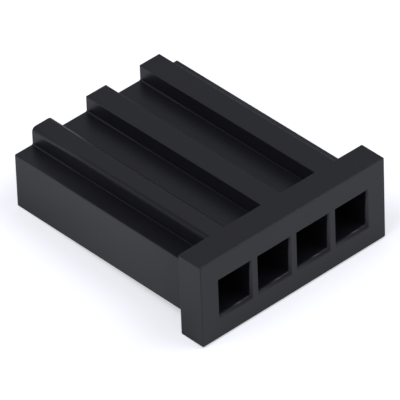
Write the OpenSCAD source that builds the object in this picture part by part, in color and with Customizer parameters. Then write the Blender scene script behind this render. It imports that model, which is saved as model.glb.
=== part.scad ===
// Four-way, single-row crimp connector housing, moulded in one piece.
// +Z is up through the ribs, +X runs along the row of ways, and +Y points
// to the mating end. The origin is on the underside, below the middle.
// All sizes are in millimetres.

/* [Ways] */
// Number of ways in the row
ways = 4; // [3:1:12]
// Spacing of the ways
pitch = 2.54; // [2.5:0.01:5.08]

/* [Terminal cavities] */
// Width of one cavity
cavity_w = 2.04; // [1.6:0.01:2.1]
// Height of one cavity
cavity_h = 2.04; // [1.6:0.01:3]
// Lead-in at the sides and the top of a cavity mouth
mouth_lead = 0.09; // [0.04:0.01:0.15]
// Lead-in ramp at the bottom of a cavity mouth
mouth_ramp = 0.19; // [0.1:0.01:0.4]

/* [Walls] */
// Wall outside the first and the last cavity
side_wall = 0.5; // [0.4:0.05:1.5]
// Wall between the cavities and the groove floors
top_wall = 0.5; // [0.4:0.05:1.5]
// Wall below the cavities
bottom_wall = 0.65; // [0.4:0.05:1.5]
// Wall at the mating end, behind which the terminals stop
end_wall = 1.2; // [0.8:0.1:2.5]

/* [Body] */
// Length over all, wire end to mating end
total_l = 13.7; // [10:0.1:30]
// Radius of the corners that run along the body
body_r = 0.06; // [0.02:0.01:0.2]

/* [Wire-end flange] */
// Thickness of the flange
flange_t = 1.5; // [0.8:0.1:3]
// How far the flange stands out beyond each side of the body
flange_side = 0.67; // [0.3:0.01:2]
// How far the flange stands out below the body
flange_drop = 0.66; // [0.3:0.01:2]
// Radius of the flange's four corners, seen from the wire end
flange_corner_r = 0.08; // [0.05:0.01:0.3]
// Radius of the edges round its front and its back
flange_edge_r = 0.1; // [0.03:0.01:0.25]

/* [Ribs] */
// Number of polarising ribs on the top
rib_count = 3; // [2:1:3]
// Width of the ledge outside the first and the last rib
ledge_w = 1.15; // [0.8:0.01:1.4]
// Width of one rib
rib_w = 1.32; // [0.8:0.01:1.8]
// Height of the ribs above the groove floors
rib_h = 0.89; // [0.5:0.01:1.5]
// Radius along the top of the first rib, which marks way one
key_rib_r = 0.26; // [0.05:0.01:0.35]
// Edge radius along the top of the other ribs
rib_edge_r = 0.04; // [0.01:0.01:0.2]
// Fillet at the foot of each rib
rib_root_r = 0.08; // [0.02:0.01:0.3]
// How far the two outer ledges lie below the groove floors
ledge_drop = 0.1; // [0.02:0.01:0.3]

/* [Pin entries] */
// Width of a square pin entry in the mating end
pin_entry_w = 0.95; // [0.7:0.01:1.4]
// Lead-in round each pin entry
pin_lead = 0.3; // [0.1:0.05:0.35]

/* [Latch windows] */
// Width of the window that a terminal's lance springs into
window_w = 1.3; // [0.8:0.05:1.6]
// Length of the window
window_l = 1.8; // [1:0.1:3]
// Distance from the terminal stop back to the near edge of the window
window_back = 5.3; // [3:0.1:5.5]

/* [Hidden] */
$fn = 64;
// Cuts run this far past the faces that they open
past = 0.5;
row_w = (ways - 1) * pitch;
body_w = row_w + cavity_w + 2 * side_wall;
flange_w = body_w + 2 * flange_side;
cavity_z = flange_drop + bottom_wall;
cavity_top = cavity_z + cavity_h;
cavity_mid = cavity_z + cavity_h / 2;
floor_z = cavity_top + top_wall;
ledge_z = floor_z - ledge_drop;
top_z = floor_z + rib_h;
wire_y = -total_l / 2;
mating_y = total_l / 2;
stop_y = mating_y - end_wall;
ribs_w = body_w - 2 * ledge_w;
rib_pitch = (ribs_w - rib_w) / (rib_count - 1);

// Stands an outline drawn in X and Z upright and extrudes it from y0 to y1
module along_y(y0, y1) {
    translate([0, y1, 0])
        rotate([90, 0, 0])
            linear_extrude(y1 - y0)
                children();
}

// Extrudes an outline drawn in Y and Z across the width, centred on x = 0
module across_x(width) {
    translate([-width / 2, 0, 0])
        rotate([90, 0, 90])
            linear_extrude(width)
                children();
}

// Rectangle with its lower left corner at the origin and round corners
module round_rect(w, h, r) {
    translate([r, 0])
        square([w - 2 * r, h]);
    translate([0, r])
        square([w, h - 2 * r]);
    for (x = [r, w - r], y = [r, h - r])
        translate([x, y])
            circle(r);
}

// Upright outline with the two top corners rounded, standing on y = 0
module round_top(w, h, r) {
    translate([-w / 2, 0])
        square([w, h - r]);
    translate([-w / 2 + r, 0])
        square([w - 2 * r, h]);
    for (side = [-1, 1])
        translate([side * (w / 2 - r), h - r])
            circle(r);
}

// Fillet where a floor on the left meets a wall on the right, at the origin
module root_fillet(r) {
    difference() {
        translate([-r, -r])
            square(2 * r);
        translate([-r, r])
            circle(r);
    }
}

// Height of the floor beside rib i, to its left or to its right
function foot_z(i, right) =
    (right ? i == rib_count - 1 : i == 0) ? ledge_z : floor_z;

// Outline of rib i, with a fillet at each foot
module rib_outline(i) {
    translate([0, ledge_z])
        round_top(rib_w, top_z - ledge_z, i == 0 ? key_rib_r : rib_edge_r);
    translate([-rib_w / 2, foot_z(i, false)])
        root_fillet(rib_root_r);
    mirror([1, 0])
        translate([-rib_w / 2, foot_z(i, true)])
            root_fillet(rib_root_r);
}

// Cross-section of the body between the flange and the mating end
module body_outline() {
    translate([-body_w / 2, flange_drop])
        round_rect(body_w, ledge_z - flange_drop, body_r);
    translate([-ribs_w / 2, cavity_z])
        square([ribs_w, floor_z - cavity_z]);
    for (i = [0 : rib_count - 1])
        translate([(i - (rib_count - 1) / 2) * rib_pitch, 0])
            rib_outline(i);
}

// Flange, rounded as seen from the wire end, from above and from the side
module flange() {
    intersection() {
        along_y(wire_y, wire_y + flange_t)
            translate([-flange_w / 2, 0])
                round_rect(flange_w, top_z, flange_corner_r);
        translate([-flange_w / 2, wire_y, 0])
            linear_extrude(top_z)
                round_rect(flange_w, flange_t, flange_edge_r);
        across_x(flange_w)
            translate([wire_y, 0])
                round_rect(flange_t, top_z, flange_edge_r);
    }
}

// Cavity seen from above: mouth, terminal chamber, pin entry and its lead-in
module cavity_plan() {
    half = cavity_w / 2;
    pin = pin_entry_w / 2;
    polygon([
        [-half - mouth_lead, wire_y - past],
        [-half - mouth_lead, wire_y],
        [-half, wire_y + mouth_lead],
        [-half, stop_y],
        [-pin, stop_y],
        [-pin, mating_y - pin_lead],
        [-pin - pin_lead, mating_y],
        [-pin - pin_lead, mating_y + past],
        [pin + pin_lead, mating_y + past],
        [pin + pin_lead, mating_y],
        [pin, mating_y - pin_lead],
        [pin, stop_y],
        [half, stop_y],
        [half, wire_y + mouth_lead],
        [half + mouth_lead, wire_y],
        [half + mouth_lead, wire_y - past]
    ]);
}

// The same cavity seen from the side, in Y and Z
module cavity_side() {
    pin = pin_entry_w / 2;
    polygon([
        [wire_y - past, cavity_z - mouth_ramp],
        [wire_y, cavity_z - mouth_ramp],
        [wire_y + mouth_ramp, cavity_z],
        [stop_y, cavity_z],
        [stop_y, cavity_mid - pin],
        [mating_y - pin_lead, cavity_mid - pin],
        [mating_y, cavity_mid - pin - pin_lead],
        [mating_y + past, cavity_mid - pin - pin_lead],
        [mating_y + past, cavity_mid + pin + pin_lead],
        [mating_y, cavity_mid + pin + pin_lead],
        [mating_y - pin_lead, cavity_mid + pin],
        [stop_y, cavity_mid + pin],
        [stop_y, cavity_top],
        [wire_y + mouth_lead, cavity_top],
        [wire_y, cavity_top + mouth_lead],
        [wire_y - past, cavity_top + mouth_lead]
    ]);
}

// Space for one terminal, open at both ends
module cavity() {
    intersection() {
        translate([0, 0, cavity_z - past])
            linear_extrude(cavity_h + 2 * past)
                cavity_plan();
        across_x(cavity_w + 2 * past)
            cavity_side();
    }
}

// Window through the underside for the terminal's lance
module latch_window() {
    translate([-window_w / 2, stop_y - window_back - window_l, flange_drop - past])
        cube([window_w, window_l, bottom_wall + 2 * past]);
}

module housing() {
    color([0.17, 0.17, 0.19])
        difference() {
            union() {
                flange();
                along_y(wire_y + flange_t / 2, mating_y)
                    body_outline();
            }
            for (i = [0 : ways - 1])
                translate([(i - (ways - 1) / 2) * pitch, 0, 0]) {
                    cavity();
                    latch_window();
                }
        }
}

housing();
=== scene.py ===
"""Dresses the four-way crimp connector housing and sets it on a studio table.

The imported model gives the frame: the origin is on the underside below the
middle, +X runs along the row of ways, +Y points to the mating end and +Z goes
up through the ribs. Every size below is in metres in that frame.
"""

import logging
import math
from collections.abc import Sequence
from dataclasses import dataclass, field
from typing import Any

import bmesh
import bpy
from mathutils import Matrix, Vector


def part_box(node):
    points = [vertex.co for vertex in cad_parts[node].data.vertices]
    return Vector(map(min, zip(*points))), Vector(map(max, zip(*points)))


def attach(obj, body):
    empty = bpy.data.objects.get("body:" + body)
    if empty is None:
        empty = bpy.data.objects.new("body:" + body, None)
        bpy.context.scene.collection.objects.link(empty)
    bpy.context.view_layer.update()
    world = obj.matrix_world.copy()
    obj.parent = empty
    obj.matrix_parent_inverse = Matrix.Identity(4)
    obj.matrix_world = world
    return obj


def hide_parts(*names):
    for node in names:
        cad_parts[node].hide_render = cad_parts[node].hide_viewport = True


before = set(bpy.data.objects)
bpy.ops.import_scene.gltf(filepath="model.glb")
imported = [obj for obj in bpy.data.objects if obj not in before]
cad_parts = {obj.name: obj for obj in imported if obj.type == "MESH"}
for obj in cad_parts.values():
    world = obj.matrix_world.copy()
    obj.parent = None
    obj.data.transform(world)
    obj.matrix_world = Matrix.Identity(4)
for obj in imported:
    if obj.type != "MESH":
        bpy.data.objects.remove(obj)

log = logging.getLogger("connector")

MM = 0.001
BODY = "root"
CAD_NODE = "housing"

Point = tuple[float, float]


def mm(value: float) -> float:
    """Returns a length given in millimetres in metres."""
    return value * MM


# Two places closer than this count as the same
NEAR = mm(0.002)
# Edges that bend less than this are part of an arc and stay as they are
SHARP_ANGLE = math.radians(30)
# How strongly large faces rule the shading of the edges beside them
FLAT_FACE_WEIGHT = 90


def linear(hex_colour: str) -> tuple[float, float, float, float]:
    """Turns an sRGB hex colour into the linear colour that a shader reads.

    Args:
        hex_colour: Six hex digits, with or without a leading hash.

    Returns:
        Linear red, green, blue and an alpha of one.
    """
    digits = hex_colour.lstrip("#")
    channels = []
    for start in (0, 2, 4):
        value = int(digits[start : start + 2], 16) / 255
        low = value / 12.92
        high = ((value + 0.055) / 1.055) ** 2.4
        channels.append(low if value <= 0.04045 else high)
    return (channels[0], channels[1], channels[2], 1.0)


def add_node(
    tree: bpy.types.NodeTree,
    kind: str,
    inputs: dict[int | str, Any] | None = None,
    **settings: Any,
) -> bpy.types.Node:
    """Adds one node to a tree, sets it up and wires its inputs.

    Args:
        tree: The node tree to add to.
        kind: The node's type name.
        inputs: For each input, by name or index, a value or the output socket
            that feeds it. A list of sockets feeds an input that takes several.
        **settings: Properties of the node itself.

    Returns:
        The new node.
    """
    node = tree.nodes.new(kind)
    for name, value in settings.items():
        setattr(node, name, value)
    for key, value in (inputs or {}).items():
        for item in value if isinstance(value, list) else [value]:
            if isinstance(item, bpy.types.NodeSocket):
                tree.links.new(item, node.inputs[key])
            else:
                node.inputs[key].default_value = item
    return node


def baked(obj: bpy.types.Object, name: str) -> bpy.types.Object:
    """Turns an object and its modifiers into a new object with a plain mesh.

    Args:
        obj: The object to evaluate. It is removed afterwards.
        name: The name of the new object.

    Returns:
        An object at the origin that holds the result.
    """
    graph = bpy.context.evaluated_depsgraph_get()
    mesh = bpy.data.meshes.new_from_object(
        obj.evaluated_get(graph), preserve_all_data_layers=True, depsgraph=graph
    )
    bpy.data.objects.remove(obj)
    mesh.name = name
    result = bpy.data.objects.new(name, mesh)
    bpy.context.scene.collection.objects.link(result)
    return result


def mesh_object(name: str, shape: bmesh.types.BMesh) -> bpy.types.Object:
    """Stores a bmesh in a new object of the scene and frees the bmesh.

    Args:
        name: The name of the object and of its mesh.
        shape: The bmesh to store.

    Returns:
        The new object.
    """
    bmesh.ops.recalc_face_normals(shape, faces=shape.faces)
    mesh = bpy.data.meshes.new(name)
    shape.to_mesh(mesh)
    shape.free()
    obj = bpy.data.objects.new(name, mesh)
    bpy.context.scene.collection.objects.link(obj)
    return obj


def skin(name: str, rings: Sequence[Sequence[Vector]]) -> bpy.types.Object:
    """Builds a closed solid through a row of rings with as many points each.

    Args:
        name: The name of the object.
        rings: The rings, in order from one end cap to the other.

    Returns:
        The solid.
    """
    shape = bmesh.new()
    loops = [[shape.verts.new(point) for point in ring] for ring in rings]
    count = len(loops[0])
    for near, far in zip(loops, loops[1:]):
        for i in range(count):
            j = (i + 1) % count
            shape.faces.new((near[i], near[j], far[j], far[i]))
    shape.faces.new(loops[0][::-1])
    shape.faces.new(loops[-1])
    return mesh_object(name, shape)


def prism(
    name: str, outline: Sequence[Point], start: float, end: float
) -> bpy.types.Object:
    """Extrudes an upright outline in X and Z from one Y to another.

    Args:
        name: The name of the object.
        outline: The corners, in order round the outline.
        start: Y of the first end.
        end: Y of the other end.

    Returns:
        The solid.
    """
    return skin(name, [[Vector((x, y, z)) for x, z in outline] for y in (start, end)])


def corner(
    centre: Point, radius: float, start: float, end: float, steps: int
) -> list[Point]:
    """Points of an arc that rounds a corner of an outline.

    Args:
        centre: Centre of the arc.
        radius: Radius of the arc.
        start: Angle of the first point, in degrees.
        end: Angle of the last point, in degrees.
        steps: Number of straight steps that the arc is made of.

    Returns:
        The points, both ends included.
    """
    points = []
    for i in range(steps + 1):
        angle = math.radians(start + (end - start) * i / steps)
        x = centre[0] + radius * math.cos(angle)
        points.append((x, centre[1] + radius * math.sin(angle)))
    return points


def towards(azimuth: float, elevation: float) -> Vector:
    """Direction from the housing to a place in the studio.

    Args:
        azimuth: Angle from the wire end towards +X, in radians.
        elevation: Angle above the table, in radians.

    Returns:
        The direction, of length one.
    """
    level = math.cos(elevation)
    return Vector(
        (math.sin(azimuth) * level, -math.cos(azimuth) * level, math.sin(elevation))
    )


@dataclass
class TerminalRow:
    """The row of terminal cavities, cut by Geometry Nodes at an even pitch."""

    ways: int = 4
    pitch: float = mm(2.54)
    width: float = mm(2.04)
    bottom: float = mm(1.31)
    top: float = mm(3.35)
    lead: float = mm(0.09)
    ramp: float = mm(0.19)
    end_wall: float = mm(1.2)
    pin_width: float = mm(0.95)
    pin_lead: float = mm(0.3)
    window_width: float = mm(1.3)
    window_length: float = mm(1.8)
    window_back: float = mm(5.3)
    past: float = mm(0.5)

    def cavity(self, wire_y: float, mating_y: float) -> bpy.types.Object:
        """Builds the space of one terminal, from its mouth to its pin entry.

        Args:
            wire_y: Y of the wire end.
            mating_y: Y of the mating end.

        Returns:
            The solid to cut away, centred on x = 0.
        """
        half, pin = self.width / 2, self.pin_width / 2
        middle = (self.bottom + self.top) / 2
        stop = mating_y - self.end_wall
        on_ramp = self.bottom - self.ramp + self.lead
        mouth = (half + self.lead, self.bottom - self.ramp, self.top + self.lead)
        sections = [
            (wire_y - self.past, *mouth),
            (wire_y, *mouth),
            (wire_y + self.lead, half, on_ramp, self.top),
            (wire_y + self.ramp, half, self.bottom, self.top),
            (stop, half, self.bottom, self.top),
            (stop, pin, middle - pin, middle + pin),
            (mating_y - self.pin_lead, pin, middle - pin, middle + pin),
        ]
        flare = pin + self.pin_lead
        for y in (mating_y, mating_y + self.past):
            sections.append((y, flare, middle - flare, middle + flare))
        rings = []
        for y, x, low, high in sections:
            corners = ((-x, low), (x, low), (x, high), (-x, high))
            rings.append([Vector((across, y, up)) for across, up in corners])
        return skin("cavity_cutter", rings)

    def window(self, mating_y: float, underside: float) -> bpy.types.Object:
        """Builds the window below one cavity that a terminal's lance uses.

        Args:
            mating_y: Y of the mating end.
            underside: Z of the body's underside.

        Returns:
            The solid to cut away, centred on x = 0.
        """
        half = self.window_width / 2
        front = mating_y - self.end_wall - self.window_back - self.window_length
        low, high = underside - self.past, self.bottom + self.past
        outline = [(-half, low), (half, low), (half, high), (-half, high)]
        return prism("window_cutter", outline, front, front + self.window_length)

    def tree(self) -> bpy.types.NodeTree:
        """Builds the node tree that joins the block and cuts the row in it."""
        tree = bpy.data.node_groups.new("terminal_row", "GeometryNodeTree")
        face = tree.interface
        face.new_socket("Body", in_out="INPUT", socket_type="NodeSocketGeometry")
        for name in ("Flange", "Cavity", "Window"):
            face.new_socket(name, in_out="INPUT", socket_type="NodeSocketObject")
        face.new_socket("Ways", in_out="INPUT", socket_type="NodeSocketInt")
        face.new_socket("Pitch", in_out="INPUT", socket_type="NodeSocketFloat")
        face.new_socket("Resin", in_out="INPUT", socket_type="NodeSocketMaterial")
        face.new_socket("Housing", in_out="OUTPUT", socket_type="NodeSocketGeometry")
        given = add_node(tree, "NodeGroupInput").outputs
        gaps = add_node(
            tree,
            "ShaderNodeMath",
            {0: given["Ways"], 1: 1.0},
            operation="SUBTRACT",
        )
        reach = add_node(
            tree, "ShaderNodeMath", {0: gaps.outputs[0], 1: given["Pitch"]}, operation="MULTIPLY"
        )
        left = add_node(
            tree, "ShaderNodeMath", {0: reach.outputs[0], 1: -0.5}, operation="MULTIPLY"
        )
        first = add_node(tree, "ShaderNodeCombineXYZ", {"X": left.outputs[0]})
        step = add_node(tree, "ShaderNodeCombineXYZ", {"X": given["Pitch"]})
        row = add_node(
            tree,
            "GeometryNodeMeshLine",
            {"Count": given["Ways"], "Start Location": first.outputs[0], "Offset": step.outputs[0]},
            mode="OFFSET",
        )
        cutters = []
        for name in ("Cavity", "Window"):
            source = add_node(tree, "GeometryNodeObjectInfo", {"Object": given[name]})
            copies = add_node(
                tree,
                "GeometryNodeInstanceOnPoints",
                {"Points": row.outputs["Mesh"], "Instance": source.outputs["Geometry"]},
            )
            real = add_node(
                tree, "GeometryNodeRealizeInstances", {"Geometry": copies.outputs["Instances"]}
            )
            cutters.append(real.outputs["Geometry"])
        flange = add_node(tree, "GeometryNodeObjectInfo", {"Object": given["Flange"]})
        block = add_node(
            tree,
            "GeometryNodeMeshBoolean",
            {"Mesh 2": [given["Body"], flange.outputs["Geometry"]]},
            operation="UNION",
            solver="EXACT",
        )
        cut = add_node(
            tree,
            "GeometryNodeMeshBoolean",
            {"Mesh 1": block.outputs["Mesh"], "Mesh 2": cutters},
            operation="DIFFERENCE",
            solver="EXACT",
        )
        real = add_node(tree, "GeometryNodeRealizeInstances", {"Geometry": cut.outputs["Mesh"]})
        painted = add_node(
            tree,
            "GeometryNodeSetMaterial",
            {"Geometry": real.outputs["Geometry"], "Material": given["Resin"]},
        )
        add_node(tree, "NodeGroupOutput", {"Housing": painted.outputs["Geometry"]})
        return tree


@dataclass
class Housing:
    """The moulded housing, with the soft edges that its mould gives it."""

    row: TerminalRow = field(default_factory=TerminalRow)
    body_width: float = mm(10.66)
    underside: float = mm(0.66)
    ledge: float = mm(3.75)
    groove: float = mm(3.85)
    corner_radius: float = mm(0.06)
    flange_length: float = mm(1.5)
    flange_corner: float = mm(0.08)
    flange_steps: int = 3
    ribs: int = 3
    rib_pitch: float = mm(3.52)
    rib_width: float = mm(1.32)
    rib_edge: float = mm(0.04)
    key_rib_edge: float = mm(0.26)
    rib_root: float = mm(0.08)
    arc_steps: int = 10
    flange_front_edge: float = mm(0.05)
    flange_back_edge: float = mm(0.045)
    mating_edge: float = mm(0.03)
    mouth_edge: float = mm(0.03)
    inner_edge: float = mm(0.012)
    edge_steps: int = 4

    def body_outline(self, top: float) -> list[Point]:
        """Cross-section of the body with its ribs.

        Args:
            top: Z of the ribs' tops.

        Returns:
            The outline, anticlockwise from the lower left corner.
        """
        half, radius, steps = self.body_width / 2, self.corner_radius, self.arc_steps
        low, high = self.underside + radius, self.ledge - radius
        outline = corner((-half + radius, low), radius, 180, 270, steps)
        outline += corner((half - radius, low), radius, 270, 360, steps)
        outline += corner((half - radius, high), radius, 0, 90, steps)
        for i in reversed(range(self.ribs)):
            outline += self.rib_outline(i, top)
        outline += corner((-half + radius, high), radius, 90, 180, steps)
        return outline

    def rib_outline(self, index: int, top: float) -> list[Point]:
        """One rib's part of the body's outline, from its right to its left.

        Args:
            index: Which rib, from the left; the first is the rounded one.
            top: Z of the rib's top.

        Returns:
            The points, with a fillet at each foot.
        """
        steps, root = self.arc_steps, self.rib_root
        centre = (index - (self.ribs - 1) / 2) * self.rib_pitch
        left, right = centre - self.rib_width / 2, centre + self.rib_width / 2
        right_foot = self.ledge if index == self.ribs - 1 else self.groove
        left_foot = self.ledge if index == 0 else self.groove
        edge = self.key_rib_edge if index == 0 else self.rib_edge
        points = corner((right + root, right_foot + root), root, 270, 180, steps)
        points += corner((right - edge, top - edge), edge, 0, 90, steps)
        points += corner((left + edge, top - edge), edge, 90, 180, steps)
        points += corner((left - root, left_foot + root), root, 0, -90, steps)
        return points

    def flange_outline(self, width: float, top: float) -> list[Point]:
        """Outline of the flange as seen from the wire end.

        Args:
            width: Width of the flange.
            top: Z of its top; its underside is at zero.

        Returns:
            The outline, anticlockwise from the lower left corner.
        """
        radius, steps = self.flange_corner, self.flange_steps
        right, high = width / 2 - radius, top - radius
        outline = corner((-right, radius), radius, 180, 270, steps)
        outline += corner((right, radius), radius, 270, 360, steps)
        outline += corner((right, high), radius, 0, 90, steps)
        outline += corner((-right, high), radius, 90, 180, steps)
        return outline

    def in_mouth(self, point: Vector) -> bool:
        """Tells whether a point lies within the mouth of one of the cavities.

        Args:
            point: The point; only its X and Z count.

        Returns:
            True if it does.
        """
        row = self.row
        way = round(abs(point.x) / row.pitch - 0.5)
        off_centre = abs(abs(point.x) - row.pitch * way - row.pitch / 2)
        low, high = row.bottom - row.ramp, row.top + row.lead
        within = off_centre < row.width / 2 + row.lead + NEAR
        return within and low - NEAR < point.z < high + NEAR

    def edge_radius(self, edge: bmesh.types.BMEdge, wire_y: float, mating_y: float) -> float:
        """How round the mould leaves one edge.

        Args:
            edge: An edge of the sharp-edged solid.
            wire_y: Y of the wire end.
            mating_y: Y of the mating end.

        Returns:
            The radius, zero where the edge stays as it is.
        """
        if len(edge.link_faces) != 2 or edge.calc_face_angle(0.0) < SHARP_ANGLE:
            return 0.0
        ends = [vert.co for vert in edge.verts]
        flange_y = wire_y + self.flange_length
        in_row = all(self.in_mouth(point) for point in ends)
        if all(abs(p.y - wire_y) < NEAR for p in ends):
            return self.mouth_edge if in_row else self.flange_front_edge
        if all(abs(p.y - flange_y) < NEAR for p in ends):
            return self.flange_back_edge if edge.is_convex else 0.0
        if all(abs(p.y - mating_y) < NEAR for p in ends):
            return self.inner_edge if in_row else self.mating_edge
        if all(abs(p.z - self.underside) < NEAR for p in ends):
            return self.inner_edge
        return 0.0

    def soften(self, obj: bpy.types.Object, wire_y: float, mating_y: float) -> None:
        """Rounds the edges of the solid and gives it clean shading.

        Args:
            obj: The sharp-edged solid, which gets the modifiers.
            wire_y: Y of the wire end.
            mating_y: Y of the mating end.
        """
        shape = bmesh.new()
        shape.from_mesh(obj.data)
        widest = max(self.flange_front_edge, self.flange_back_edge, self.mating_edge)
        weights = shape.edges.layers.float.new("bevel_weight_edge")
        for edge in shape.edges:
            edge[weights] = self.edge_radius(edge, wire_y, mating_y) / widest
        for face in shape.faces:
            face.smooth = True
        shape.to_mesh(obj.data)
        shape.free()
        bevel = obj.modifiers.new("mould_radii", "BEVEL")
        bevel.limit_method = "WEIGHT"
        bevel.width = widest
        bevel.segments = self.edge_steps
        bevel.use_clamp_overlap = False
        shading = obj.modifiers.new("flat_faces", "WEIGHTED_NORMAL")
        shading.keep_sharp = True
        shading.weight = FLAT_FACE_WEIGHT

    def build(self, resin: bpy.types.Material) -> bpy.types.Object:
        """Builds the housing in the place of the solid that it stands for.

        Args:
            resin: The finish of the whole part.

        Returns:
            The finished piece.
        """
        low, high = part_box(CAD_NODE)
        inside = low.y + self.flange_length / 2
        solid = prism("housing_block", self.body_outline(high.z), inside, high.y)
        outline = self.flange_outline(high.x - low.x, high.z)
        flange = prism("flange_block", outline, low.y, low.y + self.flange_length)
        cavity = self.row.cavity(low.y, high.y)
        window = self.row.window(high.y, self.underside)
        modifier = solid.modifiers.new("terminal_row", "NODES")
        modifier.node_group = self.row.tree()
        given = {
            "Flange": flange,
            "Cavity": cavity,
            "Window": window,
            "Ways": self.row.ways,
            "Pitch": self.row.pitch,
            "Resin": resin,
        }
        for item in modifier.node_group.interface.items_tree:
            if item.in_out == "INPUT" and item.name in given:
                modifier[item.identifier] = given[item.name]
        sharp = baked(solid, "housing_sharp")
        for tool in (flange, cavity, window):
            bpy.data.objects.remove(tool)
        self.soften(sharp, low.y, high.y)
        piece = baked(sharp, "moulded_housing")
        if not piece.data.materials:
            piece.data.materials.append(resin)
        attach(piece, BODY)
        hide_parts(CAD_NODE)
        return piece


@dataclass(frozen=True)
class MouldedPbt:
    """Black PBT with the satin skin that an injection mould gives it.

    The resin is filled with carbon black, so almost no light comes back from
    inside it. What the eye sees is the blurred mirror image of the table and
    of the room in an even satin skin.
    """

    colour: str = "17171b"
    ior: float = 1.5
    roughness: float = 0.37

    def material(self) -> bpy.types.Material:
        """Builds the material."""
        result = bpy.data.materials.new("black_moulded_pbt")
        result.use_nodes = True
        tree = result.node_tree
        tree.nodes.clear()
        shader = add_node(
            tree,
            "ShaderNodeBsdfPrincipled",
            {"Base Color": linear(self.colour), "IOR": self.ior, "Roughness": self.roughness},
        )
        add_node(tree, "ShaderNodeOutputMaterial", {"Surface": shader.outputs["BSDF"]})
        return result


@dataclass(frozen=True)
class Softbox:
    """One round softbox that points at the housing.

    The azimuth runs in degrees from the wire end towards +X, the elevation in
    degrees above the table, and the light is the irradiance in W/m2 that the
    softbox gives at the housing.
    """

    name: str
    azimuth: float
    elevation: float
    light: float


@dataclass
class Studio:
    """A white table, two softboxes in a grey room and the camera."""

    housing: Housing
    card_colour: str = "f4f4f4"
    card_glow: float = 0.45
    clip_start: float = mm(10)
    clip_end: float = 10.0
    table_size: float = 4.0
    azimuth: float = math.radians(-41.971)
    elevation: float = math.radians(37.586)
    roll: float = math.radians(-2.123)
    distance: float = mm(335.299)
    aim: Vector = field(default_factory=lambda: Vector((-0.0220, -0.3740, 1.9896)) * MM)
    lens: float = 631.83
    room_light: float = 0.36
    room_colour: str = "f0f2ff"
    softbox_distance: float = 0.6
    softbox_size: float = 0.4
    softbox_colour: str = "f0f2ff"
    softboxes: tuple[Softbox, ...] = (
        Softbox("left_softbox", 270.0, 55.0, 1.11),
        Softbox("front_right_softbox", 45.0, 55.0, 0.82),
    )

    def table(self) -> bpy.types.Object:
        """Builds the table top, tilted as the leaning housing sees it."""
        low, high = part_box(CAD_NODE)
        back_edge = low.y + self.housing.flange_length
        slope = self.housing.underside / (high.y - back_edge)
        half = self.table_size / 2
        shape = bmesh.new()
        corners = [
            shape.verts.new((x, y, (y - back_edge) * slope))
            for x, y in ((-half, -half), (half, -half), (half, half), (-half, half))
        ]
        shape.faces.new(corners)
        top = mesh_object("table_top", shape)
        top.data.materials.append(self.table_material())
        return top

    def table_material(self) -> bpy.types.Material:
        """Builds the white matt card that covers the table."""
        result = bpy.data.materials.new("white_matt_card")
        result.use_nodes = True
        tree = result.node_tree
        tree.nodes.clear()
        card = add_node(tree, "ShaderNodeBsdfDiffuse", {"Color": linear(self.card_colour)})
        glow = add_node(
            tree, "ShaderNodeEmission", {"Color": (1, 1, 1, 1), "Strength": self.card_glow}
        )
        lifted = add_node(tree, "ShaderNodeAddShader", {0: card.outputs[0], 1: glow.outputs[0]})
        path = add_node(tree, "ShaderNodeLightPath")
        seen = add_node(
            tree,
            "ShaderNodeMixShader",
            {0: path.outputs["Is Camera Ray"], 1: card.outputs[0], 2: lifted.outputs[0]},
        )
        add_node(tree, "ShaderNodeOutputMaterial", {"Surface": seen.outputs[0]})
        return result

    def world(self) -> None:
        """Gives the room a plain grey, white where the camera looks at it."""
        world = bpy.data.worlds.new("grey_room")
        world.use_nodes = True
        tree = world.node_tree
        tree.nodes.clear()
        path = add_node(tree, "ShaderNodeLightPath")
        room = add_node(
            tree,
            "ShaderNodeBackground",
            {"Color": linear(self.room_colour), "Strength": self.room_light},
        )
        white = add_node(
            tree, "ShaderNodeBackground", {"Color": (1, 1, 1, 1), "Strength": 1.0}
        )
        mix = add_node(
            tree,
            "ShaderNodeMixShader",
            {0: path.outputs["Is Camera Ray"], 1: room.outputs[0], 2: white.outputs[0]},
        )
        add_node(tree, "ShaderNodeOutputWorld", {"Surface": mix.outputs[0]})
        bpy.context.scene.world = world

    def hang(self, box: Softbox) -> None:
        """Hangs one softbox.

        Args:
            box: The softbox.
        """
        side, up = math.radians(box.azimuth), math.radians(box.elevation)
        away = towards(side, up)
        data = bpy.data.lights.new(box.name, "AREA")
        data.shape = "DISK"
        data.size = self.softbox_size
        data.energy = box.light * math.pi * self.softbox_distance**2
        data.color = linear(self.softbox_colour)[:3]
        obj = bpy.data.objects.new(box.name, data)
        obj.location = away * self.softbox_distance
        obj.rotation_mode = "QUATERNION"
        obj.rotation_quaternion = away.to_track_quat("Z", "Y")
        bpy.context.scene.collection.objects.link(obj)

    def camera(self) -> None:
        """Sets up the camera."""
        back = towards(self.azimuth, self.elevation)
        level = Vector((0, 0, 1)).cross(back).normalized()
        above = back.cross(level)
        turned = level * math.cos(self.roll) + above * math.sin(self.roll)
        upright = above * math.cos(self.roll) - level * math.sin(self.roll)
        data = bpy.data.cameras.new("studio_camera")
        data.lens = self.lens
        data.clip_start, data.clip_end = self.clip_start, self.clip_end
        obj = bpy.data.objects.new("studio_camera", data)
        bpy.context.scene.collection.objects.link(obj)
        place = self.aim + back * self.distance
        obj.matrix_world = Matrix.Translation(place) @ Matrix(
            (turned, upright, back)
        ).transposed().to_4x4()
        bpy.context.scene.camera = obj

    def build(self) -> None:
        """Sets up the whole studio."""
        self.table()
        self.world()
        for box in self.softboxes:
            self.hang(box)
        self.camera()


def main() -> None:
    """Builds the housing and the studio."""
    logging.basicConfig(level=logging.INFO, format="%(name)s: %(message)s")
    scene = bpy.context.scene
    scene.view_settings.view_transform = "Standard"
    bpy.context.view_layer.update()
    resin = MouldedPbt().material()
    housing = Housing()
    piece = housing.build(resin)
    log.info("%s: %d faces", piece.name, len(piece.data.polygons))
    Studio(housing).build()


if __name__ == "__main__":
    main()
